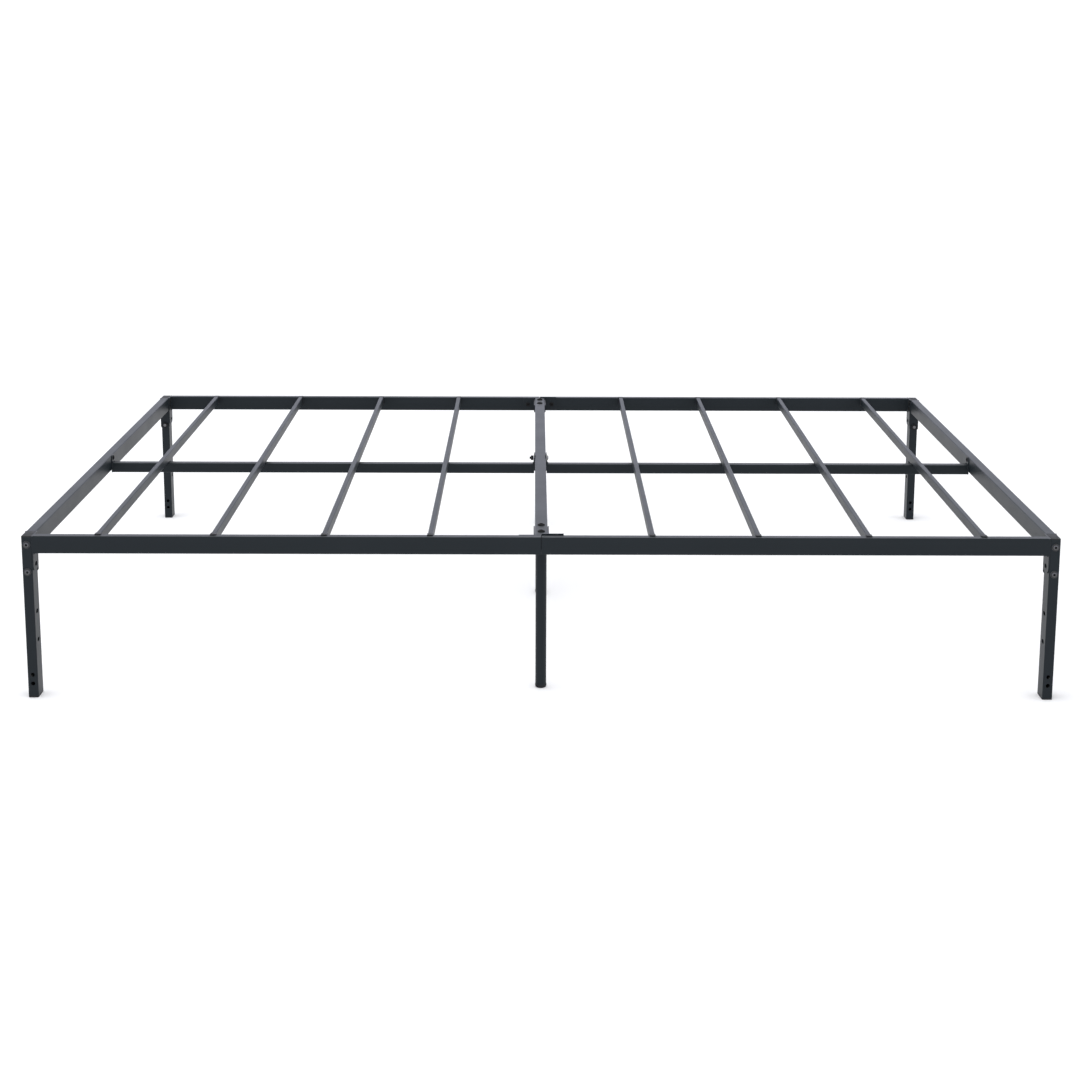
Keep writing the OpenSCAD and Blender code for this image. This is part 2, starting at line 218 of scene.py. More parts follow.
def thread_rings(radius, pitch, z_from, z_to, count):
    """Rings down a threaded shank: the crest runs round it as a helix."""
    per_turn = 6
    run_out = 0.15  # share of the full depth that is left at the tip
    crest = 0.12  # share of a half turn that the flat crest takes
    rings = []
    steps = max(2, int(abs(z_to - z_from) / pitch * per_turn))
    depth = pitch * 0.6
    for s in range(steps + 1):
        z = z_from + (z_to - z_from) * s / steps
        fade = min(1.0, s / per_turn, (steps - s) / per_turn + run_out)
        ring = []
        for i in range(count):
            angle = 2 * math.pi * i / count
            turn = (z / pitch + angle / (2 * math.pi)) % 1.0
            dip = abs(turn - 0.5) * 2
            r = radius - depth * fade * max(0.0, dip - crest)
            ring.append((r * math.cos(angle), r * math.sin(angle), z))
        rings.append(ring)
    return rings


def button_bolt(shape, size, length, place, thread=None):
    """Round-headed socket screw: domed head with a hexagon socket, and a rolled thread."""
    count = 30
    shank = size["shank"]
    head_r = size["head"] / 2
    head_h = size["head_h"]
    flats = size["socket"]
    rim = head_h * 0.3
    dome = head_h - rim
    dome_r = (head_r * head_r + dome * dome) / (2 * dome)
    mouth_r = flats * 0.72
    floor_z = head_h - size["depth"]
    drill_r, drill_depth = 0.05 * MM, 0.55 * MM
    chamfer = 0.35 * MM
    edge = 0.3 * MM
    fillet = 0.25 * MM
    neck = 0.6 * MM

    def dome_z(r):
        return head_h - dome_r + math.sqrt(max(dome_r * dome_r - r * r, 0))

    rings = [circle(drill_r, floor_z - drill_depth, count), circle(flats * 0.42, floor_z, count)]
    rings.append(hexagon(flats, floor_z, count))
    rings.append(hexagon(flats, dome_z(mouth_r) - 0.15 * MM, count))
    rings.append(hexagon(flats + chamfer, dome_z(mouth_r), count))
    for share in (0.25, 0.5, 0.75, 0.92):
        r = mouth_r + (head_r - mouth_r) * share
        rings.append(circle(r, dome_z(r), count))
    rings += [circle(head_r - 0.06 * MM, rim + 0.16 * MM, count), circle(head_r, rim, count)]
    rings += [circle(head_r, edge, count), circle(head_r - edge, 0, count)]
    rings += [circle(shank + fillet, 0, count), circle(shank, -edge, count)]
    threaded = min(thread or length, length - 1.0 * MM)
    start = -(length - threaded)
    if start < -neck:
        rings.append(circle(shank, start, count))
    rings += thread_rings(shank, size["pitch"], min(start, -0.5 * MM), -length + neck, count)
    rings.append(circle(shank * 0.8, -length, count))
    shape.add_rings(rings, place, cap_first=True, cap_last=True)


def hex_nut(shape, size, place):
    """Hexagon nut with chamfered corners and a thread inside."""
    count = 36
    per_turn = 6
    fade_steps = 4
    flats, height, bore, pitch = size["nut"], size["nut_h"], size["shank"], size["pitch"]
    chamfer_r = flats / 2 * 0.96
    chamfer_slope = 0.577  # 30 degrees
    countersink = 0.45 * MM
    root, relief = 0.06 * MM, 0.35 * MM

    def outline(z, sign):
        ring = []
        for i in range(count):
            angle = 2 * math.pi * (i + 0.5) / count
            r = hex_radius(angle + math.pi / 6, flats)
            drop = max(0.0, r - chamfer_r) * chamfer_slope
            ring.append((r * math.cos(angle), r * math.sin(angle), z - sign * drop))
        return ring

    phase = math.pi / count
    outside = [
        circle(bore + countersink, 0, count, phase),
        circle(chamfer_r, 0, count, phase),
        outline(0, -1),
        outline(height, 1),
        circle(chamfer_r, height, count, phase),
        circle(bore + countersink, height, count, phase),
    ]
    inside = []
    steps = max(6, int(height / pitch * per_turn))
    for s in range(steps + 1):
        z = height * (1 - s / steps)
        fade = min(1.0, s / fade_steps, (steps - s) / fade_steps)
        ring = []
        for i in range(count):
            angle = 2 * math.pi * (i + 0.5) / count
            turn = (z / pitch + angle / (2 * math.pi)) % 1.0
            groove = pitch * 0.45 * max(0.0, 0.88 - abs(turn - 0.5) * 2)
            r = bore + root + groove * fade + relief * (1 - fade)
            ring.append((r * math.cos(angle), r * math.sin(angle), z))
        inside.append(ring)
    shape.add_rings(outside + inside + [outside[0]], place)


def washer(shape, outer, inner, thick, place):
    """Stamped washer, rounded more on its upper outer edge."""
    count = 40
    edge = 0.15 * MM
    profile = [
        (inner, edge),
        (inner, thick - edge),
        (inner + edge, thick),
        (outer - edge * 2, thick),
        (outer, thick - edge * 2),
        (outer, edge),
        (outer - edge, 0),
        (inner + edge, 0),
        (inner, edge),
    ]
    shape.add_rings([circle(r, z, count) for r, z in profile], place)


def weld_bead(shape, start, end, side_a, side_b, size, seed):
    """Fillet weld in the corner of two faces: a rippled bead from start to end."""
    ring_step = 0.45 * MM
    ripple_pitch = 1.7 * MM
    ripple_lag = 0.35 * MM
    end_share = 0.35  # size of the bead at its two ends
    arc_points = 6
    rnd = random.Random(seed)
    start, end = Vector(start), Vector(end)
    side_a, side_b = Vector(side_a), Vector(side_b)
    along = (end - start).normalized()
    length = (end - start).length
    steps = max(8, int(length / ring_step))
    rings = []
    drift = 0.0
    for s in range(steps + 1):
        t = s / steps
        drift = drift * 0.8 + rnd.uniform(-0.06, 0.06)
        ripple = 0.5 + 0.5 * math.cos(2 * math.pi * (t * length) / ripple_pitch)
        ends = min(1.0, end_share + t * length / size, end_share + (1 - t) * length / size)
        r = size * ends * (0.86 + 0.14 * ripple + drift)
        centre = start.lerp(end, t)
        ring = [centre - (side_a + side_b) * size * 0.25]
        for k in range(arc_points):
            a = math.pi / 2 * k / (arc_points - 1)
            bulge = 0.80 + 0.20 * abs(math.cos(2 * (a - math.pi / 4)))
            hollow = 0.78 + 0.22 * abs(math.cos(2 * a))
            lag = along * (ripple_lag * math.sin(2 * a))
            ring.append(centre + (side_a * math.cos(a) + side_b * math.sin(a)) * r * bulge * hollow - lag)
        rings.append(ring)
    shape.add_rings(rings, cap_first=True, cap_last=True)


def rounded_outline(width, depth, radius, z, per_corner=6):
    """A flat rounded rectangle as a ring of points."""
    ring = []
    for quarter in range(4):
        sx = 1 if quarter in (0, 3) else -1
        sy = 1 if quarter in (0, 1) else -1
        for k in range(per_corner + 1):
            a = math.pi / 2 * (quarter + k / per_corner)
            x = sx * (width / 2 - radius) + radius * math.cos(a)
            y = sy * (depth / 2 - radius) + radius * math.sin(a)
            ring.append((x, y, z))
    return ring


# ---------------------------------------------------------------- materials


def new_material(name):
    material = bpy.data.materials.new(name)
    material.use_nodes = True
    tree = material.node_tree
    return material, tree, tree.nodes["Principled BSDF"]


def node(tree, kind, **inputs):
    made = tree.nodes.new(kind)
    for key, value in inputs.items():
        made.inputs[key.replace("_", " ")].default_value = value
    return made


def noise(tree, coords, scale, detail=3.0, rough=0.55):
    made = node(tree, "ShaderNodeTexNoise", Scale=scale, Detail=detail, Roughness=rough)
    tree.links.new(coords, made.inputs["Vector"])
    return made.outputs["Fac"]


def ramp(tree, value, stops):
    made = tree.nodes.new("ShaderNodeValToRGB")
    elements = made.color_ramp.elements
    while len(elements) < len(stops):
        elements.new(0.5)
    for element, (position, color) in zip(elements, stops):
        element.position = position
        element.color = (*color, 1)
    tree.links.new(value, made.inputs["Fac"])
    return made.outputs["Color"]


def spread(tree, value, low, high, from_low=0.3, from_high=0.7):
    made = node(tree, "ShaderNodeMapRange", To_Min=low, To_Max=high, From_Min=from_low, From_Max=from_high)
    made.clamp = True
    tree.links.new(value, made.inputs["Value"])
    return made.outputs["Result"]


def maths(tree, operation, a, b):
    made = tree.nodes.new("ShaderNodeMath")
    made.operation = operation
    for socket, value in zip(made.inputs, (a, b)):
        if isinstance(value, (int, float)):
            socket.default_value = value
        else:
            tree.links.new(value, socket)
    return made.outputs["Value"]


def mix_color(tree, factor, a, b):
    made = tree.nodes.new("ShaderNodeMix")
    made.data_type = "RGBA"
    tree.links.new(factor, made.inputs[0])
    for socket, value in zip((made.inputs[6], made.inputs[7]), (a, b)):
        if isinstance(value, tuple):
            socket.default_value = (*value, 1)
        else:
            tree.links.new(value, socket)
    return made.outputs[2]


def bump(tree, height, distance, strength=1.0, normal=None):
    made = node(tree, "ShaderNodeBump", Strength=strength, Distance=distance)
    tree.links.new(height, made.inputs["Height"])
    if normal is not None:
        tree.links.new(normal, made.inputs["Normal"])
    return made.outputs["Normal"]


def object_coords(tree):
    return tree.nodes.new("ShaderNodeTexCoord").outputs["Object"]


def edge_mask(tree, low, high):
    """1 on the ridges of a finely divided mesh. It is no use on long flat faces, which have few points."""
    geometry = tree.nodes.new("ShaderNodeNewGeometry")
    return spread(tree, geometry.outputs["Pointiness"], 0.0, 1.0, from_low=low, from_high=high)


def sharp_edges(tree, radius, low, high):
    """1 where the surface turns sharply within the radius: plate edges, hole rims and tube ends."""
    rounded = node(tree, "ShaderNodeBevel", Radius=radius)
    rounded.samples = 6
    flat = tree.nodes.new("ShaderNodeNewGeometry")
    match = tree.nodes.new("ShaderNodeVectorMath")
    match.operation = "DOT_PRODUCT"
    tree.links.new(rounded.outputs["Normal"], match.inputs[0])
    tree.links.new(flat.outputs["Normal"], match.inputs[1])
    turn = maths(tree, "SUBTRACT", 1.0, match.outputs["Value"])
    return spread(tree, turn, 0.0, 1.0, from_low=low, from_high=high)


def set_normal(tree, shader, normal):
    tree.links.new(normal, shader.inputs["Normal"])


def powder_coat():
    """Satin black powder coat: orange peel, fine grain, faint specks and edges rubbed smooth."""
    material, tree, shader = new_material("powder_coat")
    at = object_coords(tree)
    dark, light = (0.0056, 0.0092, 0.0114), (0.0076, 0.0114, 0.0138)
    speck_tone, rub_tone = (0.020, 0.023, 0.027), (0.085, 0.090, 0.098)
    tone = ramp(tree, noise(tree, at, scale=3.0, detail=2.0), [(0.3, dark), (0.7, light)])
    speck_noise = noise(tree, at, scale=420.0, detail=2.0)
    specks = spread(tree, speck_noise, 0.0, 1.0, from_low=0.64, from_high=0.76)
    tone = mix_color(tree, maths(tree, "MULTIPLY", specks, 0.25), tone, speck_tone)
    patch_noise = noise(tree, at, scale=60.0, detail=4.0)
    patches = spread(tree, patch_noise, 0.15, 1.0, from_low=0.42, from_high=0.62)
    lighter_edges = maths(tree, "MULTIPLY", sharp_edges(tree, radius=1.2 * MM, low=0.02, high=0.22), patches)
    tone = mix_color(tree, maths(tree, "MULTIPLY", lighter_edges, 0.6), tone, rub_tone)
    tree.links.new(tone, shader.inputs["Base Color"])
    peel = noise(tree, at, scale=650.0, detail=1.0, rough=0.4)
    grain = noise(tree, at, scale=2600.0, detail=2.0, rough=0.6)
    rough = spread(tree, noise(tree, at, scale=9.0), 0.39, 0.43)
    rough = maths(tree, "ADD", rough, maths(tree, "MULTIPLY", peel, 0.04))
    rough = maths(tree, "SUBTRACT", rough, maths(tree, "MULTIPLY", lighter_edges, 0.08))
    tree.links.new(rough, shader.inputs["Roughness"])
    normal = bump(tree, peel, distance=0.12 * MM, strength=0.25)
    normal = bump(tree, grain, distance=0.03 * MM, strength=0.3, normal=normal)
    set_normal(tree, shader, normal)
    shader.inputs["IOR"].default_value = 1.45
    shader.inputs["Specular IOR Level"].default_value = 0.22
    return material


def moulded_plastic():
    """Matt black moulded plastic with a spark-eroded grain."""
    material, tree, shader = new_material("moulded_plastic")
    at = object_coords(tree)
    dark, light = (0.0045, 0.0048, 0.0055), (0.0080, 0.0083, 0.0090)
    rub_tone = (0.022, 0.022, 0.024)
    tone = ramp(tree, noise(tree, at, scale=30.0, detail=4.0), [(0.3, dark), (0.7, light)])
    lighter_edges = edge_mask(tree, 0.53, 0.68)
    tone = mix_color(tree, maths(tree, "MULTIPLY", lighter_edges, 0.5), tone, rub_tone)
    tree.links.new(tone, shader.inputs["Base Color"])
    cells = node(tree, "ShaderNodeTexVoronoi", Scale=1900.0)
    tree.links.new(at, cells.inputs["Vector"])
    rough = spread(tree, noise(tree, at, scale=90.0), 0.58, 0.70)
    rough = maths(tree, "SUBTRACT", rough, maths(tree, "MULTIPLY", lighter_edges, 0.12))
    tree.links.new(rough, shader.inputs["Roughness"])
    set_normal(tree, shader, bump(tree, cells.outputs["Distance"], distance=0.06 * MM, strength=0.5))
    shader.inputs["Specular IOR Level"].default_value = 0.30
    return material


def black_bolt(name, tones, roughness, rim_wear_and_highlight, metallic, specular):
    """Black fastener finish: its rims are lightened by the given share, partly rubbed bare steel and partly a
    painted rim highlight.
    """
    material, tree, shader = new_material(name)
    at = object_coords(tree)
    dark, light = ((0.95 * t, 0.97 * t, t) for t in tones)
    # bare steel on rubbed rims, which also serves as a painted pale rim highlight
    bare_steel_and_highlight = (0.38, 0.38, 0.39)
    tone = ramp(tree, noise(tree, at, scale=260.0, detail=4.0), [(0.3, dark), (0.7, light)])
    # painted highlight: the edge mask lightens the rims, partly as wear and partly as a painted rim highlight
    lighter_edges = edge_mask(tree, 0.50, 0.60)
    tone = mix_color(tree, maths(tree, "MULTIPLY", lighter_edges, rim_wear_and_highlight), tone, bare_steel_and_highlight)
    tree.links.new(tone, shader.inputs["Base Color"])
    rough = spread(tree, noise(tree, at, scale=500.0), *roughness)
    tree.links.new(rough, shader.inputs["Roughness"])
    set_normal(tree, shader, bump(tree, noise(tree, at, scale=1400.0), distance=0.03 * MM, strength=0.4))
    shader.inputs["Metallic"].default_value = metallic
    shader.inputs["Specular IOR Level"].default_value = specular
    return material


def zinc_plate():
    """Zinc-plated steel: pale metal with a faint yellow and blue bloom and handling marks."""
    material, tree, shader = new_material("zinc_plate")
    at = object_coords(tree)
    blue, grey, yellow = (0.50, 0.53, 0.58), (0.60, 0.60, 0.58), (0.62, 0.57, 0.46)
    mark_tone = (0.30, 0.30, 0.31)
    tone = ramp(tree, noise(tree, at, scale=120.0), [(0.30, blue), (0.52, grey), (0.72, yellow)])
    mark_noise = noise(tree, at, scale=900.0, detail=5.0, rough=0.7)
    marks = spread(tree, mark_noise, 0.0, 1.0, from_low=0.55, from_high=0.72)
    tone = mix_color(tree, maths(tree, "MULTIPLY", marks, 0.35), tone, mark_tone)
    tree.links.new(tone, shader.inputs["Base Color"])
    rough = spread(tree, noise(tree, at, scale=700.0, detail=4.0), 0.24, 0.44)
    tree.links.new(rough, shader.inputs["Roughness"])
    set_normal(tree, shader, bump(tree, noise(tree, at, scale=1800.0), distance=0.02 * MM, strength=0.4))
    shader.inputs["Metallic"].default_value = 1.0
    return material


def studio_floor():
    """Plain pale floor, clear when it is looked at from below."""
    material, tree, shader = new_material("studio_floor")
    at = object_coords(tree)
    dark, light = (0.930, 0.930, 0.925), (0.940, 0.940, 0.935)
    tone = ramp(tree, noise(tree, at, scale=0.8), [(0.3, dark), (0.7, light)])
    tree.links.new(tone, shader.inputs["Base Color"])
    shader.inputs["Roughness"].default_value = 0.85
    shader.inputs["Specular IOR Level"].default_value = 0.1
    geometry = tree.nodes.new("ShaderNodeNewGeometry")
    clear = tree.nodes.new("ShaderNodeBsdfTransparent")
    sided = tree.nodes.new("ShaderNodeMixShader")
    tree.links.new(geometry.outputs["Backfacing"], sided.inputs["Fac"])
    tree.links.new(shader.outputs["BSDF"], sided.inputs[1])
    tree.links.new(clear.outputs["BSDF"], sided.inputs[2])
    tree.links.new(sided.outputs["Shader"], tree.nodes["Material Output"].inputs["Surface"])
    return material


coat = powder_coat()
plastic = moulded_plastic()
bolt_black = black_bolt(
    "black_coated_bolt", tones=(0.004, 0.009), roughness=(0.62, 0.76), rim_wear_and_highlight=0.03, metallic=0.0, specular=0.1
)
# leg bolts: strongly lightened rims, partly wear and partly a painted pale rim highlight
bolt_worn_and_highlit = black_bolt(
    "oxide_bolt_worn_and_highlit", tones=(0.013, 0.026), roughness=(0.36, 0.50), rim_wear_and_highlight=0.55, metallic=1.0, specular=0.5
)
zinc = zinc_plate()
FINISH = {
    "powder_coated_steel": coat,
    "black_plastic": plastic,
    "black_bolt_steel": bolt_black,
    "zinc_plated_steel": zinc,
}
for part in frame["record"]["subparts"]:
    slots = frame["nodes"][part["node"]].data.materials
    slots.clear()
    slots.append(FINISH[part["material_slot"]])


# ---------------------------------------------------------------- fasteners


BOLT_SHARP = 35  # degrees: flatter edges of a bolt are shaded smooth
NUT_SHARP = 32
WASHER_SHARP = 30


def random_turn():
    """Each bolt stops at its own angle."""
    return Matrix.Rotation(random.uniform(0, 1.0), 4, "Z")


def leg_bolts():
    shape = Shape()
    for low, high in islands("leg_bolts"):
        outward = 1 if low.y > 0 else -1
        seat = (high.y if outward > 0 else low.y) - outward * M8["head_h"]
        at = Vector(((low.x + high.x) / 2, seat, (low.z + high.z) / 2))
        turn = random_turn()
        length = high.y - low.y - M8["head_h"]
        button_bolt(shape, M8, length, facing("Y", outward, at) @ turn, thread=22 * MM)
    shape.finish("leg_bolts_threaded", bolt_worn_and_highlit, "black_bolt_steel", ["leg_bolts"], BOLT_SHARP)


def rail_bolts():
    """M6 bolts with their heads towards the middle of the bed."""
    shape = Shape()
    for low, high in islands("m6_rail_bolts"):
        size = high - low
        mid = (low + high) / 2
        turn = random_turn()
        if size.x > size.y:
            inward = -1 if mid.x > 0 else 1
            seat = (low.x if inward < 0 else high.x) - inward * M6["head_h"]
            place = facing("X", inward, Vector((seat, mid.y, mid.z)))
            length = size.x
        else:
            inward = -1 if mid.y > 0 else 1
            seat = (low.y if inward < 0 else high.y) - inward * M6["head_h"]
            place = facing("Y", inward, Vector((mid.x, seat, mid.z)))
            length = size.y
        button_bolt(shape, M6, length - M6["head_h"], place @ turn)
    shape.finish("rail_bolts_threaded", bolt_black, "black_bolt_steel", ["m6_rail_bolts"], BOLT_SHARP)


def crossbar_bolts():
    shape = Shape()
    for low, high in islands("crossbar_bolts"):
        at = Vector(((low.x + high.x) / 2, (low.y + high.y) / 2, high.z - M8["head_h"]))
        turn = random_turn()
        length = high.z - low.z - M8["head_h"]
        button_bolt(shape, M8, length, facing("Z", 1, at) @ turn, thread=20 * MM)
    shape.finish("crossbar_bolts_threaded", bolt_black, "black_bolt_steel", ["crossbar_bolts"], BOLT_SHARP)


def centre_bolt():
    low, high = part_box("centre_bolt")
    shape = Shape()
    at = Vector((high.x - M6["head_h"], 0, (low.z + high.z) / 2))
    length = high.x - low.x - M6["head_h"]
    button_bolt(shape, M6, length, facing("X", 1, at), thread=20 * MM)
    shape.finish("centre_bolt_threaded", bolt_black, "black_bolt_steel", ["centre_bolt"], BOLT_SHARP)


def nuts(source, size, axis):
    shape = Shape()
    for low, high in islands(source):
        at = (low + high) / 2
        number = "XYZ".index(axis)
        at[number] = low[number]
        hex_nut(shape, size, facing(axis, 1, at))
    shape.finish(f"{source}_threaded", bolt_black, "black_bolt_steel", [source], NUT_SHARP)


def centre_washers():
    shape = Shape()
    for low, high in islands("centre_washers"):
        at = Vector((low.x, (low.y + high.y) / 2, (low.z + high.z) / 2))
        outer_r = (high.z - low.z) / 2
        washer(shape, outer_r, WASHER_BORE_R, high.x - low.x, facing("X", 1, at))
    shape.finish("centre_washers_turned", zinc, "zinc_plated_steel", ["centre_washers"], WASHER_SHARP)


leg_bolts()
rail_bolts()
crossbar_bolts()
centre_bolt()
nuts("leg_nuts", M8, "Y")
nuts("crossbar_nuts", M8, "Z")
nuts("centre_nut", M6, "X")
centre_washers()


# ---------------------------------------------------------------- moulded caps


CAP_SHARP = 35  # degrees
SLAT_COUNT = 8


def leg_plug(width, depth, flange, length):
    """Rings of a plug for a tube end, from its outer face inwards: flange, shank and the hollow in it."""
    edge = 0.7 * MM
    flange_r, shank_r, hollow_r = 2 * MM, 1 * MM, 0.6 * MM
    seam = flange * 0.55
    shank_w, shank_d = width - 3.2 * MM, depth - 3.2 * MM
    lead_in = 0.8 * MM
    walls = 4 * MM
    hollow_draft = 0.4 * MM
    floor_t = 0.5 * MM
    rounding = [(edge * 2.2, 0.0), (edge, 0.12 * MM), (edge * 0.3, edge * 0.5), (0.0, edge * 1.2)]
    rings = [rounded_outline(width - 2 * inset, depth - 2 * inset, flange_r, z) for inset, z in rounding]
    rings.append(rounded_outline(width, depth, flange_r, seam))
    rings.append(rounded_outline(width, depth, flange_r, flange))
    rings.append(rounded_outline(shank_w, shank_d, shank_r, flange))
    rings.append(rounded_outline(shank_w, shank_d, shank_r, length - 1 * MM))
    rings.append(rounded_outline(shank_w - lead_in, shank_d - lead_in, shank_r, length))
    rings.append(rounded_outline(shank_w - walls, shank_d - walls, hollow_r, length))
    walls += hollow_draft
    rings.append(rounded_outline(shank_w - walls, shank_d - walls, hollow_r, flange + floor_t))
    return rings


def leg_caps():
    """Moulded plugs in both ends of each leg."""
    for corner in CORNERS:
        for kind, flange in (("foot", 3 * MM), ("top", 2 * MM)):
            source = f"leg_{kind}_cap_{corner}"
            low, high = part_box(source)
            mid = (low + high) / 2
            if kind == "foot":
                place = Matrix.Translation((mid.x, mid.y, low.z))
            else:
                place = Matrix.Translation((mid.x, mid.y, high.z)) @ Matrix.Rotation(math.pi, 4, "X")
            rings = leg_plug(high.x - low.x, high.y - low.y, flange, high.z - low.z)
            shape = Shape()
            shape.add_rings(rings, place, cap_first=True, cap_last=True)
            shape.finish(f"leg_{kind}_plug_{corner}", plastic, "black_plastic", [source], CAP_SHARP)


def slat_caps():
    """Moulded slat end caps: a flange on the tube end, a lip that lies on the rail and a plug in the tube."""
    plug_l = 14 * MM
    flange_t = 5 * MM
    wall = 1.3 * MM
    gap = 0.1 * MM
    for number in range(1, SLAT_COUNT + 1):
        source = f"slat_end_caps_{number}"
        slat_low, slat_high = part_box(f"slat_{number}")
        plug_half = (slat_high.x - slat_low.x) / 2 - wall
        plug_low, plug_high = slat_low.z + wall, slat_high.z - wall
        shape = Shape()
        for low, high in islands(source):
            inner = 1 if low.y < 0 else -1
            tip_y, outer_y = (high.y, low.y) if inner > 0 else (low.y, high.y)
            flange_y = tip_y - inner * plug_l
            back_y = flange_y - inner * flange_t
            mid_x = (low.x + high.x) / 2
            half = (high.x - low.x) / 2
            profile = [
                (flange_y, low.z),
                (flange_y, high.z),
                (outer_y, high.z),
                (outer_y, RAIL_TOP),
                (back_y, RAIL_TOP),
                (back_y, low.z),
            ]
            sides = [[(mid_x + x, y, z) for y, z in profile] for x in (-half, half)]
            shape.add_rings(sides, cap_first=True, cap_last=True)
            section = [
                (-plug_half, plug_low),
                (plug_half, plug_low),
                (plug_half, plug_high),
                (-plug_half, plug_high),
            ]
            ends = sorted((flange_y + inner * gap, tip_y))
            plug = [[(mid_x + x, y, z) for x, z in section] for y in ends]
            shape.add_rings(plug, cap_first=True, cap_last=True)
        name = f"slat_caps_moulded_{number}"
        shape.finish(name, plastic, "black_plastic", [source], CAP_SHARP, bevel=0.6 * MM, segments=3)


leg_caps()
slat_caps()


# ---------------------------------------------------------------- weld beads

RAIL_BEAD = 3.2 * MM
RAIL_SIDE_BEAD = 3.0 * MM
END_SIDE_BEAD = 1.6 * MM
TAB_BEAD = 4.4 * MM
CENTRE_END_BEAD = 2.6 * MM
CENTRE_SIDE_BEAD = 1.4 * MM
CHEEK_BEAD = 2.4 * MM
SHORT_MARGIN, LONG_MARGIN = 1 * MM, 2 * MM  # how far beads stop from the corners of a tube
RAIL_SEED, CENTRE_SEED, BRACKET_SEED = 100, 200, 300
DOWN, UP = (0, 0, -1), (0, 0, 1)


def finish_welds(shape, name):
    shape.finish(name, coat, "powder_coated_steel", sharp_deg=60)


def side_rail_welds():
    """Fillet beads under and behind each half rail, where its tube meets the end plate."""
    seed = RAIL_SEED
    for corner, (sx, sy) in CORNERS.items():
        low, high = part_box(f"side_rail_{corner}")
        plate_x = (high.x if sx > 0 else low.x) - sx * PLATE_T
        outer_y = low.y if sy < 0 else high.y
        inner_y = outer_y - sy * RAIL_T
        under = high.z - RAIL_H
        shape = Shape()
        start = (plate_x, outer_y - sy * LONG_MARGIN, under)
        end = (plate_x, inner_y + sy * SHORT_MARGIN, under)
        weld_bead(shape, start, end, (-sx, 0, 0), DOWN, RAIL_BEAD, seed)
        start = (plate_x, inner_y, under + SHORT_MARGIN)
        end = (plate_x, inner_y, high.z - LONG_MARGIN)
        weld_bead(shape, start, end, (-sx, 0, 0), (0, -sy, 0), RAIL_SIDE_BEAD, seed + 1)
        finish_welds(shape, f"side_rail_welds_{corner}")
        seed += 2


def end_rail_welds():
    """Fillet beads under and behind each end rail, at both of its plates."""
    seed = RAIL_SEED + 2 * len(CORNERS)
    bead_half = 8 * MM
    for half, sx in HALVES.items():
        low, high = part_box(f"end_rail_{half}")
        centre_x = sx * (abs(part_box("leg_front_right")[1].x) - RAIL_T / 2)
        inner_x = centre_x - sx * RAIL_T / 2
        under = high.z - RAIL_H
        shape = Shape()
        for sy in (-1, 1):
            plate_y = (high.y if sy > 0 else low.y) - sy * PLATE_T
            start = (centre_x - bead_half, plate_y, under)
            end = (centre_x + bead_half, plate_y, under)
            weld_bead(shape, start, end, (0, -sy, 0), DOWN, RAIL_BEAD, seed)
            start = (inner_x, plate_y, under + SHORT_MARGIN)
            end = (inner_x, plate_y, high.z - LONG_MARGIN)
            weld_bead(shape, start, end, (0, -sy, 0), (-sx, 0, 0), END_SIDE_BEAD, seed + 1)
            seed += 2
        finish_welds(shape, f"end_rail_welds_{half}")


def centre_rail_welds():
    """Fillet beads round the tabs of the centre rail."""
    seed = CENTRE_SEED
    tab_half, end_half = 8.5 * MM, 9.5 * MM
    for half, sx in HALVES.items():
        low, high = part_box(f"centre_rail_{half}")
        tube_top = low.z + CENTRE_S
        inner_x = sx * (CROSS_W / 2 + TAB_T)
        outer_x = (high.x if sx > 0 else low.x) - sx * TAB_T
        shape = Shape()
        top_beads = ((inner_x, sx, tab_half, TAB_BEAD), (outer_x, -sx, end_half, CENTRE_END_BEAD))
        for x, away, bead_half, size in top_beads:
            start, end = (x, -bead_half, tube_top), (x, bead_half, tube_top)
            weld_bead(shape, start, end, (away, 0, 0), UP, size, seed)
            seed += 1
        for sy in (-1, 1):
            side_y = sy * CENTRE_S / 2
            start = (outer_x, side_y, low.z + LONG_MARGIN)
            end = (outer_x, side_y, tube_top - SHORT_MARGIN)
            weld_bead(shape, start, end, (-sx, 0, 0), (0, sy, 0), CENTRE_SIDE_BEAD, seed)
            seed += 1
        finish_welds(shape, f"centre_rail_welds_{half}")


def bracket_welds():
    """Fillet beads between the saddle cheeks and the back plate of each joint bracket."""
    seed = BRACKET_SEED
    cheek_gap = 0.2 * MM
    bead_low, bead_high = RAIL_TOP - 21 * MM, RAIL_TOP - 6 * MM
    for row, sy in ROWS.items():
        low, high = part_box(f"joint_bracket_{row}")
        plate_y = (low.y if sy < 0 else high.y) - sy * PLATE_T
        cheek_x = CROSS_W / 2 + cheek_gap + PLATE_T
        shape = Shape()
        for sx in (-1, 1):
            start = (sx * cheek_x, plate_y, bead_low)
            end = (sx * cheek_x, plate_y, bead_high)
            weld_bead(shape, start, end, (0, -sy, 0), (sx, 0, 0), CHEEK_BEAD, seed)
            seed += 1
        finish_welds(shape, f"joint_bracket_welds_{row}")


side_rail_welds()
end_rail_welds()
centre_rail_welds()
bracket_welds()


# ---------------------------------------------------------------- stage, light and camera


FLOOR_HALF = 60.0
SOFTBOX_AT, SOFTBOX_AIM = (-0.8, -0.6, 3.6), (0, 0, 0.2)
SOFTBOX_SIZE = (4.0, 3.0)
SOFTBOX_WATTS = 40
CAMERA_AT = (-0.0140, -4.5386, 1.3045)
CAMERA_PITCH, CAMERA_YAW, CAMERA_ROLL = 11.4396, 0.1620, 0.1895  # degrees
CAMERA_SENSOR, CAMERA_LENS = 36.0, 66.483  # millimetres
CAMERA_SHIFT = -0.10
CAMERA_REACH = 200


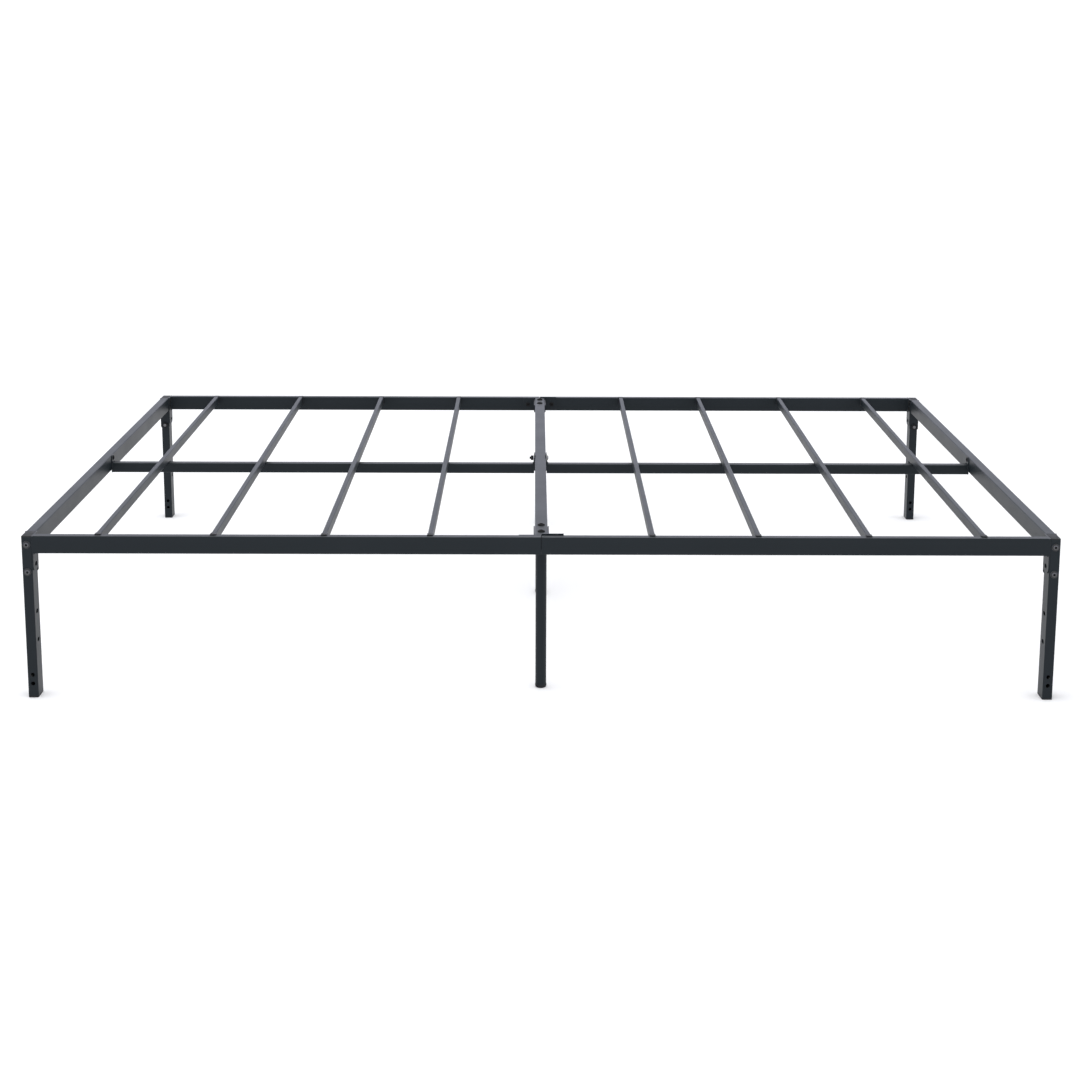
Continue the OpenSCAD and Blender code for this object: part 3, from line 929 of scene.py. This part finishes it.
def stage():
    corners = [(sx * FLOOR_HALF, sy * FLOOR_HALF, 0) for sx, sy in ((-1, -1), (1, -1), (1, 1), (-1, 1))]
    mesh = bpy.data.meshes.new("studio_floor")
    mesh.from_pydata(corners, [], [(0, 1, 2, 3)])
    floor = bpy.data.objects.new("studio_floor", mesh)
    bpy.context.scene.collection.objects.link(floor)
    mesh.materials.append(studio_floor())


def overhead_softbox():
    data = bpy.data.lights.new("overhead_softbox", "AREA")
    data.shape = "RECTANGLE"
    data.size, data.size_y = SOFTBOX_SIZE
    data.energy = SOFTBOX_WATTS
    lamp = bpy.data.objects.new("overhead_softbox", data)
    bpy.context.scene.collection.objects.link(lamp)
    lamp.location = SOFTBOX_AT
    aim = Vector(SOFTBOX_AIM) - Vector(SOFTBOX_AT)
    lamp.rotation_euler = aim.to_track_quat("-Z", "Y").to_euler()


def cyclorama():
    """A white surround, brighter and a little bluer near the horizon."""
    world = bpy.data.worlds.new("studio_world")
    world.use_nodes = True
    tree = world.node_tree
    background = tree.nodes["Background"]
    split = tree.nodes.new("ShaderNodeSeparateXYZ")
    tree.links.new(tree.nodes.new("ShaderNodeTexCoord").outputs["Generated"], split.inputs["Vector"])
    height = split.outputs["Z"]
    horizon, zenith = (0.77, 0.80, 1.0), (1.0, 1.0, 1.0)
    sky = ramp(tree, height, [(0.10, horizon), (0.55, zenith)])
    tree.links.new(sky, background.inputs["Color"])
    strength = spread(tree, height, 1.90, 1.00, from_low=0.20, from_high=0.65)
    tree.links.new(strength, background.inputs["Strength"])
    bpy.context.scene.world = world


def camera():
    """Camera 4.5 m from the middle of the bed and 1.3 m up, looking down at it."""
    data = bpy.data.cameras.new("camera")
    data.sensor_width = CAMERA_SENSOR
    data.lens = CAMERA_LENS
    data.shift_y = CAMERA_SHIFT
    data.clip_end = CAMERA_REACH
    cam = bpy.data.objects.new("camera", data)
    bpy.context.scene.collection.objects.link(cam)
    heading = Matrix.Rotation(-math.radians(CAMERA_YAW), 4, "Z")
    tilt = Matrix.Rotation(math.pi / 2 - math.radians(CAMERA_PITCH), 4, "X")
    roll = Matrix.Rotation(math.radians(CAMERA_ROLL), 4, "Z")
    cam.matrix_world = Matrix.Translation(CAMERA_AT) @ heading @ tilt @ roll
    bpy.context.scene.camera = cam


stage()
cyclorama()
overhead_softbox()
camera()
bpy.context.scene.view_settings.view_transform = "Standard"
